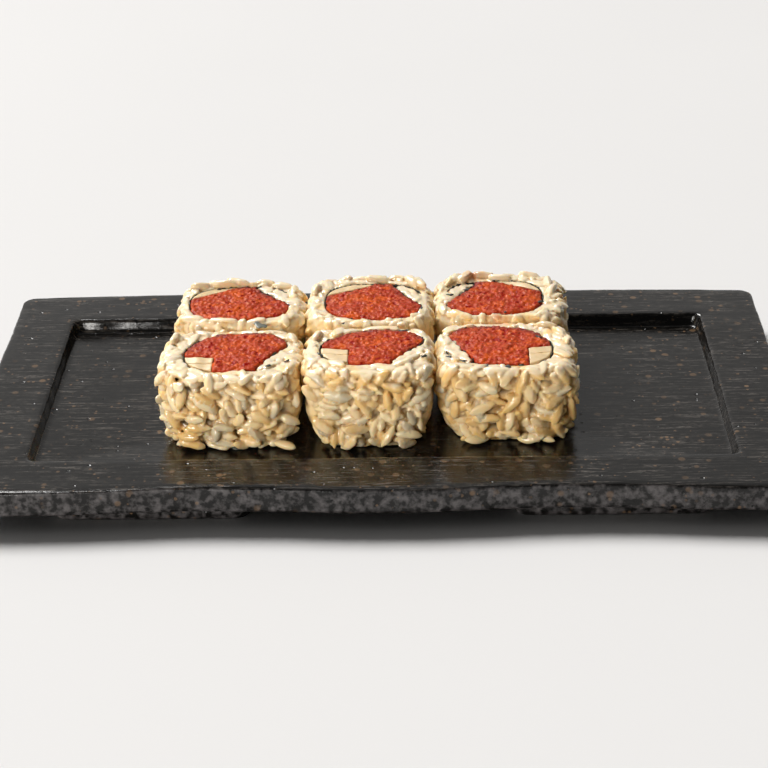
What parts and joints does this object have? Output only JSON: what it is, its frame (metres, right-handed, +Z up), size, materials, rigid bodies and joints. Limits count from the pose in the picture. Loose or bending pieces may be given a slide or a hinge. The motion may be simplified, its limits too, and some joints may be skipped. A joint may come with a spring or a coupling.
{
  "type": "uramaki roll",
  "caption": "Rectangular dark stoneware plate with a sunk well, holding cut inside-out rolls of rice round nori, minced tuna and pale batons.",
  "frame": {"origin": "on the table, under the middle of the plate", "axes": "+X along the plate's length, +Y away from the viewer, towards the back row of rolls, +Z up"},
  "size_m": [0.2638, 0.1448, 0.0391],
  "materials": {
    "stoneware": "satin",
    "rice": "satin",
    "nori": "satin",
    "tuna": "satin",
    "baton": "satin"
  },
  "bodies": {
    "root": {"plate": "stoneware", "rice_back_left": "rice", "nori_back_left": "nori", "tuna_back_left": "tuna", "baton_back_left": "baton", "rice_back_middle": "rice", "nori_back_middle": "nori", "tuna_back_middle": "tuna", "baton_back_middle": "baton", "rice_back_right": "rice", "nori_back_right": "nori", "tuna_back_right": "tuna", "baton_back_right": "baton", "rice_front_left": "rice", "nori_front_left": "nori", "tuna_front_left": "tuna", "baton_upper_front_left": "baton", "baton_lower_front_left": "baton", "rice_front_middle": "rice", "nori_front_middle": "nori", "tuna_front_middle": "tuna", "baton_upper_front_middle": "baton", "baton_lower_front_middle": "baton", "rice_front_right": "rice", "nori_front_right": "nori", "tuna_front_right": "tuna", "baton_upper_front_right": "baton", "baton_lower_front_right": "baton"}
  },
  "joints": []
}
